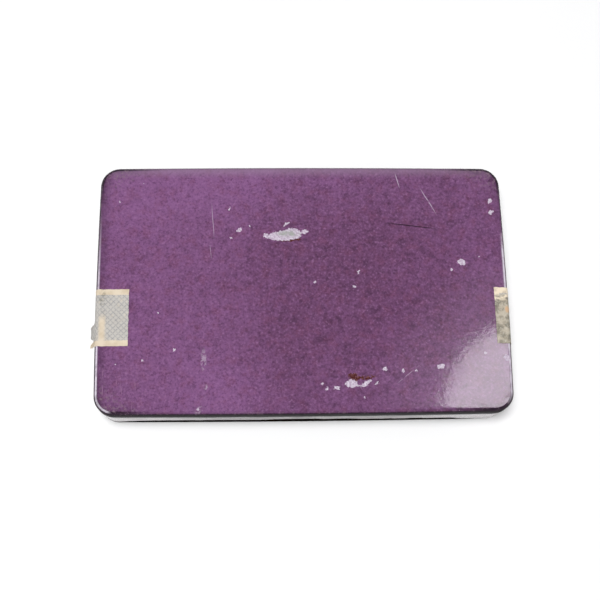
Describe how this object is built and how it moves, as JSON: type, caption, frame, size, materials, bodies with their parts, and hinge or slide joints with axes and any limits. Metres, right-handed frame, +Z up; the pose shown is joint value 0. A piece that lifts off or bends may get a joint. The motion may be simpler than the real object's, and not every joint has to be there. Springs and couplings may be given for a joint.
{
  "type": "watercolor pan set",
  "caption": "Hinged tin of watercolour paints in pans, with a mixing palette in its lid and a brush trough between the pan rows.",
  "frame": {"origin": "centre of the tin's underside, between its four side walls", "axes": "+X along the long side, to the right as the picture shows it; -Y towards the front, +Y towards the hinge; +Z up, out of the lid"},
  "size_m": [0.2012, 0.1271, 0.0266],
  "materials": {
    "lid_enamel": "glossy enamel, chipped and scratched",
    "tinplate": "bare tinplate, semi-bright",
    "hinge_steel": "drawn wire",
    "carrier_enamel": "white enamel",
    "palette_enamel": "glossy white enamel",
    "pan_plastic": "moulded",
    "seal_paper": "aged, printed with a plain lattice",
    "brush_lacquer": "lacquered",
    "ferrule_nickel": "nickel plated",
    "brush_hair": "soft hair",
    "paint_titanium_white": "dried paint",
    "paint_lemon_yellow": "dried paint",
    "paint_cadmium_yellow": "dried paint",
    "paint_orange": "dried paint",
    "paint_vermilion": "dried paint",
    "paint_carmine": "dried paint",
    "paint_yellow_ochre": "dried paint",
    "paint_raw_sienna": "dried paint",
    "paint_burnt_sienna": "dried paint",
    "paint_english_red": "dried paint",
    "paint_rose_madder": "dried paint",
    "paint_mauve": "dried paint",
    "paint_sap_green": "dried paint",
    "paint_permanent_green": "dried paint",
    "paint_viridian": "dried paint",
    "paint_turquoise": "dried paint",
    "paint_cerulean_blue": "dried paint",
    "paint_cobalt_blue": "dried paint",
    "paint_ultramarine": "dried paint",
    "paint_prussian_blue": "dried paint",
    "paint_raw_umber": "dried paint",
    "paint_burnt_umber": "dried paint",
    "paint_sepia": "dried paint",
    "paint_ivory_black": "dried paint"
  },
  "bodies": {
    "tray": {"base_tray": "tinplate", "hinge_wire": "hinge_steel", "pan_carrier": "carrier_enamel", "seal_left_base": "seal_paper", "seal_right_base": "seal_paper", "brush_handle": "brush_lacquer", "brush_ferrule": "ferrule_nickel", "brush_hair": "brush_hair", "pan_01": "pan_plastic", "pan_02": "pan_plastic", "pan_03": "pan_plastic", "pan_04": "pan_plastic", "pan_05": "pan_plastic", "pan_06": "pan_plastic", "pan_07": "pan_plastic", "pan_08": "pan_plastic", "pan_09": "pan_plastic", "pan_10": "pan_plastic", "pan_11": "pan_plastic", "pan_12": "pan_plastic", "pan_13": "pan_plastic", "pan_14": "pan_plastic", "pan_15": "pan_plastic", "pan_16": "pan_plastic", "pan_17": "pan_plastic", "pan_18": "pan_plastic", "pan_19": "pan_plastic", "pan_20": "pan_plastic", "pan_21": "pan_plastic", "pan_22": "pan_plastic", "pan_23": "pan_plastic", "pan_24": "pan_plastic", "cake_titanium_white": "paint_titanium_white", "cake_lemon_yellow": "paint_lemon_yellow", "cake_cadmium_yellow": "paint_cadmium_yellow", "cake_orange": "paint_orange", "cake_vermilion": "paint_vermilion", "cake_carmine": "paint_carmine", "cake_yellow_ochre": "paint_yellow_ochre", "cake_raw_sienna": "paint_raw_sienna", "cake_burnt_sienna": "paint_burnt_sienna", "cake_english_red": "paint_english_red", "cake_rose_madder": "paint_rose_madder", "cake_mauve": "paint_mauve", "cake_sap_green": "paint_sap_green", "cake_permanent_green": "paint_permanent_green", "cake_viridian": "paint_viridian", "cake_turquoise": "paint_turquoise", "cake_cerulean_blue": "paint_cerulean_blue", "cake_cobalt_blue": "paint_cobalt_blue", "cake_ultramarine": "paint_ultramarine", "cake_prussian_blue": "paint_prussian_blue", "cake_raw_umber": "paint_raw_umber", "cake_burnt_umber": "paint_burnt_umber", "cake_sepia": "paint_sepia", "cake_ivory_black": "paint_ivory_black"},
    "lid": {"lid": "lid_enamel", "mixing_palette": "palette_enamel", "seal_left_lid": "seal_paper", "seal_right_lid": "seal_paper"}
  },
  "joints": [
    {"name": "lid_hinge", "type": "hinge", "parent": "tray", "child": "lid", "pos_m": [0, 0.0634, 0.018], "axis": [-1, 0, 0], "range_deg": [0, 180]}
  ]
}
